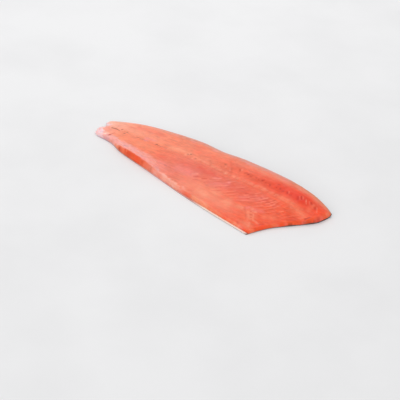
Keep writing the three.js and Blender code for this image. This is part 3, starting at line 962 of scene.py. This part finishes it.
        (Trace.FLUSH, -0.15, (
            (80, 30.5, 6, 44, 2, 0.42), (134, -16.8, 4.5, 12, 0, 0.6), (165, -12, 5, 30, 8, 0.3),
            (208, -8.6, 4.5, 26, -4, 0.65), (168, 34.3, 2.8, 20, 0, 0.35), (190, 22, 6, 36, 0, 0.25),
            (283.5, -38.5, 3, 7, 36, 0.6), (288, -80.5, 3, 7, 0, 0.8), (343, -64, 4, 14, 60, 0.55),
            (350, 14, 6, 44, -9, 0.25), (371, -26, 4, 14, 20, 0.4), (268, -24, 8, 26, 20, 0.25),
            (329.9, -53.8, 7.8, 0.5, 0, 0.25), (322.1, -87.1, 3.8, 0.5, 0, 0.6),
            (278.1, 24.4, 4.9, 4.1, -10, 0.25), (287.6, -35.4, 5.3, 7.7, 29, 0.3),
            (212, -47, 7.5, 8, -50, 0.62), (286, -31, 5, 5, -10, 0.6), (52, 25, 5, 8, 0, 0.3),
            (285, -57, 5, 6, -20, 0.35))),
        (Trace.PEACH, 0.1, (
            (138.7, 10, 6, 14, 8, 0.55), (154.2, 12, 4.5, 10, 0, 0.5), (108, 10.5, 4, 16, -6, 0.45),
            (98, -8, 8, 22, 0, 0.4), (245.7, -41, 7, 7, -10, 0.55), (273.9, -52.3, 6.5, 7, -40, 0.55),
            (293.8, -48.9, 5, 6, 0, 0.5), (310.5, -42.5, 2.4, 2, -59, 0.6),
            (321.4, -57.1, 1.6, 15.6, -59, 0.6), (225, -50, 9, 24, -16, 0.5), (347, -2, 4.8, 26, -8, 0.45),
            (370, -9, 7, 14, -20, 0.5), (196, 25, 8, 30, 0, 0.15), (339, -44, 5, 12, 20, 0.3),
            (400.5, 16, 1.8, 3, 75, 0.7), (60, 14, 7, 40, -8, 0.2), (184.7, -60.4, 3, 11.7, -14, 0.7),
            (322, -78, 8, 9, -10, 0.38), (240, -72, 4.5, 26, -14, 0.85), (315, -56, 8, 10, -55, 0.5),
            (377.5, 7, 4, 12, 85, 0.35), (336, -84, 2.5, 4, 50, 0.75), (313, -86, 2.5, 14, -15, 0.6),
            (298, 2, 4, 8, -10, 0.3), (354, -53, 2, 5, 45, 0.4))),
        (Trace.ROSE, 0, (
            (87.9, 6.6, 2.2, 5, 30, 0.8), (93, 11.7, 3.2, 14, 0, 0.6), (183, -26, 9, 26, 2, 0.5),
            (251.6, -13.8, 2.4, 1, -56, 0.9), (231, -13.6, 2, 8, 26, 0.7), (304, -43.8, 3.3, 2.6, 46, 0.5),
            (240, -24, 7, 20, 16, 0.35), (299, -24, 6, 30, 26, 0.25), (318, -41, 4, 14, 20, 0.35),
            (115.4, -38.1, 2.3, 3.3, -17, 0.8), (87.2, 8.1, 2.1, 4, 18, 0.6),
            (12.3, 13.4, 2.2, 6.4, -27, 0.5), (118.9, 46.5, 1.8, 2, 27, 0.7),
            (152, 41.6, 2.1, 2.8, 11, 0.6), (162.4, 47.2, 1.8, 2.1, 26, 0.7),
            (172.3, 43.3, 1.8, 2.5, 5, 0.5), (192.1, 39.1, 2.6, 3.1, 10, 0.55),
            (221.8, 38.7, 1.5, 2.6, 10, 0.5), (147, -29.5, 3.7, 15.5, -4, 0.5),
            (90, -24.5, 3.5, 10, -20, 0.5), (49.8, -20, 2.9, 14.2, -22, 0.2),
            (358.1, -48.7, 2.1, 1.7, 50, 0.35), (365.4, -40.1, 2.1, 1.5, 45, 0.3),
            (382.9, -20, 2.1, 2.9, 45, 0.3), (396.8, -0.7, 2.6, 11.5, 65, 0.3),
            (251.6, 37.5, 2, 4.9, -8, 0.7), (319.5, -88.7, 3.1, 4.4, -8, 0.5),
            (261.3, 37.2, 1.8, 3.3, 25, 0.7), (290.2, 40.5, 1.9, 10.5, -1, 0.6),
            (319.8, 31.9, 2.6, 4.5, 14, 0.6), (342.8, 32.8, 1.7, 4, -29, 0.5))),
    )

    # Places along the head cut where the flesh has come away from the skin, so it is dark underneath: share of
    # the cut from the belly edge, width as such a share, and height.
    lifts: tuple = ((0.5, 0.05, 1.5), (0.72, 0.06, 1.3), (0.88, 0.07, 1.0))

    def grid(self) -> tuple[np.ndarray, np.ndarray]:
        """Lay out the fine grid over the flesh, closer together at its rounded edges.

        Returns:
            The shares from tail to head and from belly to back, for each point.
        """
        outline = self.body.outline
        end = self.end_rounding / outline.mean_length
        u = eased((end, end), self.row_steps)
        width = outline.width(u)
        start = self.body.skin_shows.at(u) / width
        stop = 1 - self.body.base / width
        bevel = self.belly_rounding.at(u) / width
        shares = np.stack([eased((b, self.back_rounding / w), self.column_steps) for b, w in zip(bevel, width)])
        v = start[:, None] + (stop - start)[:, None] * shares
        return np.repeat(u[:, None], v.shape[1], 1), v

    def bevel(self, distance: np.ndarray, width: float | np.ndarray) -> np.ndarray:
        """Share of the full height at a rounded edge, part of which stands upright."""
        return self.upright_share + (1 - self.upright_share) * rounding(distance, width)

    def furrows(self, u: np.ndarray, v: np.ndarray, width: np.ndarray) -> np.ndarray:
        """Give the broad relief: the seam, the valley beside it and the hollow that the ribs lined.

        Args:
            u: shares from the tail to the head.
            v: shares from the belly edge to the back edge.
            width: the side's width at each place.

        Returns:
            Heights to add, none above 0.
        """
        bone = self.body.backbone_at.at(u)
        valley_at = bone + self.valley_between * (self.body.pin_bones_at.at(u) - bone)
        depth, place, spread = self.hollow
        total = (self.seam[0] * bell((v - bone) * width, self.seam[1])
                 + self.valley[0] * bell((v - valley_at) * width, self.valley[1]) * smooth(*self.valley_from, u)
                 + depth * bell(v - place, spread) * smooth(*self.hollow_from, u))
        return -total * smooth(*self.furrow_tail, u) * smooth(*self.furrow_head, 1 - u)

    def leaves(self, x: np.ndarray, y: np.ndarray) -> tuple[np.ndarray, np.ndarray]:
        """Number the muscle leaves, and say how plainly they show.

        Args:
            x: places along the fish, in millimetres.
            y: places across it, in millimetres.

        Returns:
            A number that grows by one from leaf to leaf, and how far the leaves show there, from 0 to 1.
        """
        aside = y - (self.spine[0] + self.spine[1] * x)
        lean = np.interp(x, *zip(*self.leaf_lean))
        lean = np.where(aside < 0, lean, self.loin_lean)
        back = lean * (np.sqrt(aside ** 2 + self.leaf_bend ** 2) - self.leaf_bend)
        start, ease, share = self.leaf_narrowing
        narrowed = share * (np.sqrt((x - start) ** 2 + ease ** 2) + x - start)
        number = (x + narrowed + back + self.leaf_wander.at(x, y)) / self.leaf_spacing
        # A leaf keeps its own gaps from the foot of one swell to the foot of the next.
        leaf = np.floor(number - self.leaf_crest - (1 + self.leaf_fall) / 2)
        kept = smooth(-0.3, 0.7, self.leaf_gaps.at(self.leaf_gap_step * leaf, y))
        middle = self.leaf_plain * between(self.plain_along, x) * between(self.plain_below, aside)
        below, spread = self.nose_below
        nose = self.leaf_nose * smooth(*self.nose_from, x) * bell(aside + below, spread)
        return number, (self.leaf_faint + middle + nose) * kept

    def swell(self, leaves: np.ndarray) -> np.ndarray:
        """Height of a leaf's swell from -0.5 to 0.5: it climbs slowly to its crest and falls off quickly."""
        past = (leaves - self.leaf_crest) % 1
        return np.where(past < self.leaf_fall, 0.5 - smooth(0.0, self.leaf_fall, past),
                        smooth(self.leaf_fall, 1.0, past) - 0.5)

    def marks(self) -> list[Mark]:
        """List what shows at single places on the cut."""
        return [Mark(trace, x, y, width, length, heading, rise * strength, strength)
                for trace, rise, spots in self.places for x, y, width, length, heading, strength in spots]

    def build(self) -> bpy.types.Object:
        """Build and dress the flesh.

        Returns:
            The flesh's object.
        """
        body, outline = self.body, self.body.outline
        u, v = self.grid()
        width = outline.width(u)
        xy = outline.plan(u, v)
        x, y = xy[..., 0], xy[..., 1]
        from_belly = v * width - body.skin_shows.at(u)
        from_back = (1 - v) * width - body.base
        from_tail, from_head = u * outline.mean_length, (1 - u) * outline.mean_length
        bone = (v - body.backbone_at.at(u)) * width

        # Where each tone lies.
        ragged = self.ragged_ends.at(x, y)
        side = within(self.side_top.at(u), self.side_fade, from_belly + 0.25 * ragged)
        film = (within(self.film_top.at(u), self.film_fade, from_belly + 0.6 * ragged)
                * (1 - side * smooth(*self.film_off_side, u)) * self.film_show.at(u))
        tissue = within(self.tissue_reach.at(v), self.tissue_fade, from_tail + ragged)
        leaves, leaf_show = self.leaves(x, y)
        inside = smooth(0.0, 9.0, from_belly) * smooth(0.0, 8.0, from_back) * smooth(0.0, 6.0, from_head)
        leaf_show = leaf_show * inside * (1 - film) * (1 - tissue)
        rim = within(self.rim_reach.at(u), self.rim_fade, from_back + 0.5 * ragged) * smooth(*self.rim_from, u)
        from_pins = (v - body.pin_bones_at.at(u)) * width
        below, hollow_width = self.hollow_tone
        flap_at, flap_width = self.flap_tone
        marks = self.marks()
        values = {
            "place": np.stack([x, y, np.zeros_like(x)], -1),
            "along": u,
            "upper": smooth(-6.0, 8.0, bone),
            "leaves": leaves,
            "leaf_show": leaf_show,
            "side": side * self.side_show.at(u) * smooth(*self.side_from, u),
            "film": film,
            "tissue": tissue,
            # Pale band on the loin's crest: partly its own tone, partly painted highlight.
            "crest": bell(from_back - self.crest_highlight_from_back.at(u), self.crest_highlight_width) * self.crest_highlight_show.at(u),
            # Deeper red in the valley by the pin bones, with painted shade where it faces away from the lamp.
            "valley": bell(from_pins, self.valley_shade_width) * between(self.valley_shade_along, u),
            "hollow": bell(bone + below, hollow_width) * between(self.hollow_along, u),
            "flap": bell(v - flap_at, flap_width) * between(self.flap_along, u),
            "bone_line": (bell(bone - self.bone_line.at(u), self.bone_line_width)
                          * between(self.bone_line_along, u)),
            "head_cut": smooth(7.0, 1.5, from_head + ragged),
            "hem": smooth(4.5, 1.5, from_belly + 0.4 * ragged) * between(self.hem_along, u),
            "skirt": smooth(7.5, 3.0, from_belly + ragged) * between(self.skirt_along, u),
            "rim": rim * smooth(*reversed(self.rim_change), u),
            "head_rim": rim * smooth(*self.rim_change, u),
        }
        for trace in Trace:
            shares = [m.strength * m.share(x, y) for m in marks if m.trace is trace]
            values[trace.value] = np.max(shares, axis=0)

        # The relief: broad furrows, the swell of each leaf, small marks, and soft unevenness.
        swell = self.leaf_swell * leaf_show * self.swell(leaves)
        uneven = sum(ripple.at(x, y) for ripple in self.uneven)
        lumps = tissue * self.tissue_lumps.at(x, y) + self.film_thickness * film
        wrinkles = film * self.film_wrinkles.at(x, y)
        fine = (swell + uneven + lumps + wrinkles) * inside
        fine += sum(m.rise * m.share(x, y) for m in marks)
        share = (self.bevel(from_belly, self.belly_rounding.at(u)) * self.bevel(from_head, self.end_rounding)
                 * self.bevel(from_tail, self.end_rounding))
        crown = body.crown(u, v) + self.furrows(u, v, width) + fine
        open_top = body.base + (crown - body.base) * share
        under = body.underside(u, v, body.base)
        lifted = smooth(3.0, 0.0, from_head) * sum(h * bell(v - at, w) for at, w, h in self.lifts)
        lip = np.maximum(under + self.thinnest, np.minimum(body.rim_height.at(u) + self.lip, open_top))
        inward = rounding(from_back, self.back_rounding)
        top = np.maximum(open_top, lip) * inward + lip * (1 - inward)

        # The torn tissue at the tail frays outwards and back in over a few millimetres.
        frayed = x - smooth(self.fray_reach, 0.0, from_tail) * self.fray.at(np.zeros_like(y), y)
        upper = np.stack([frayed, y, top], -1)
        lower = np.stack([frayed, y, under + lifted], -1)[::self.step, ::self.step]
        slab = Slab("salmon_flesh", upper, lower, self.step, self.shift, values)
        piece = slab.build()
        piece.data.materials.append(self.finish.make())
        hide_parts("flesh")
        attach(piece, "root")
        return piece


@dataclass(frozen=True)
class SoftLamp:
    """A round, evenly bright lamp that faces the middle of the floor."""

    name: str
    at: tuple[float, float, float]
    size: float
    watts: float

    def hang(self) -> None:
        """Put the lamp in the scene."""
        data = bpy.data.lights.new(self.name, "AREA")
        data.shape = "DISK"
        data.size = self.size
        data.energy = self.watts
        lamp = bpy.data.objects.new(self.name, data)
        lamp.location = self.at
        lamp.rotation_euler = (-Vector(self.at)).to_track_quat("-Z", "Y").to_euler()
        bpy.context.scene.collection.objects.link(lamp)


@dataclass
class Studio:
    """The plain pale floor, the soft light and the camera."""

    camera_at: tuple[float, float, float] = (0.90109, -1.47315, 1.1265)
    camera_right: tuple[float, float, float] = (0.8269, 0.5581, 0.0684)
    camera_down: tuple[float, float, float] = (0.3601, -0.4322, -0.8267)
    lens: float = 126.0
    sensor: float = 36.0
    floor_half: float = 4.0
    floor_finish: HonedStone = HonedStone()
    sky: float = 0.82
    lamps: tuple = (SoftLamp("key", (-0.75, 0.75, 1.6), 1.3, 8.0), SoftLamp("fill", (-0.2, -1.8, 0.5), 1.2, 4.5))

    def place_camera(self) -> None:
        """Put the camera where the photograph was taken from."""
        data = bpy.data.cameras.new("camera")
        data.lens = self.lens
        data.sensor_width = self.sensor
        right = Vector(self.camera_right).normalized()
        down = Vector(self.camera_down)
        down = (down - right * down.dot(right)).normalized()
        ahead = right.cross(down)
        turn = Matrix((right, -down, -ahead)).transposed().to_4x4()
        camera = bpy.data.objects.new("camera", data)
        camera.matrix_world = Matrix.Translation(Vector(self.camera_at)) @ turn
        bpy.context.scene.collection.objects.link(camera)
        bpy.context.scene.camera = camera

    def lay_floor(self) -> bpy.types.Object:
        """Lay the floor at the height the side rests on.

        Returns:
            The floor's object.
        """
        h = self.floor_half
        mesh = bpy.data.meshes.new("floor")
        mesh.from_pydata([(-h, -h, 0), (h, -h, 0), (h, h, 0), (-h, h, 0)], [], [(0, 1, 2, 3)])
        floor = bpy.data.objects.new("floor", mesh)
        floor.data.materials.append(self.floor_finish.make())
        bpy.context.scene.collection.objects.link(floor)
        return floor

    def light(self) -> None:
        """Light it softly: a pale room, a broad lamp high up behind, and a weak one low down in front."""
        world = bpy.data.worlds.new("pale_room")
        world.use_nodes = True
        world.node_tree.nodes["Background"].inputs["Color"].default_value = (1.0, 1.0, 1.0, 1.0)
        world.node_tree.nodes["Background"].inputs["Strength"].default_value = self.sky
        bpy.context.scene.world = world
        for lamp in self.lamps:
            lamp.hang()
        bpy.context.scene.view_settings.view_transform = "Standard"


def drawing_shift(outline: Outline) -> np.ndarray:
    """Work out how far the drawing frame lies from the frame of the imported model.

    Args:
        outline: the side's outline.

    Returns:
        The move along X, Y and Z, in millimetres.
    """
    u, v = np.meshgrid(np.linspace(0, 1, 400), np.linspace(0, 1, 200), indexing="ij")
    corner = outline.plan(u, v).reshape(-1, 2).min(0)
    low = cad_box[0]
    return np.array([low.x / MM - corner[0], low.y / MM - corner[1], low.z / MM])


def main() -> None:
    """Build the side and the scene round it, and report each piece."""
    logging.basicConfig(level=logging.INFO, format="%(message)s")
    studio = Studio()
    studio.place_camera()
    studio.lay_floor()
    studio.light()
    body = Body()
    shift = drawing_shift(body.outline)
    for maker in (Skin(body, shift), Flesh(body, shift)):
        piece = maker.build()
        log.info("%s: %d vertices, %d faces", piece.name, len(piece.data.vertices), len(piece.data.polygons))


if __name__ == "__main__":
    main()
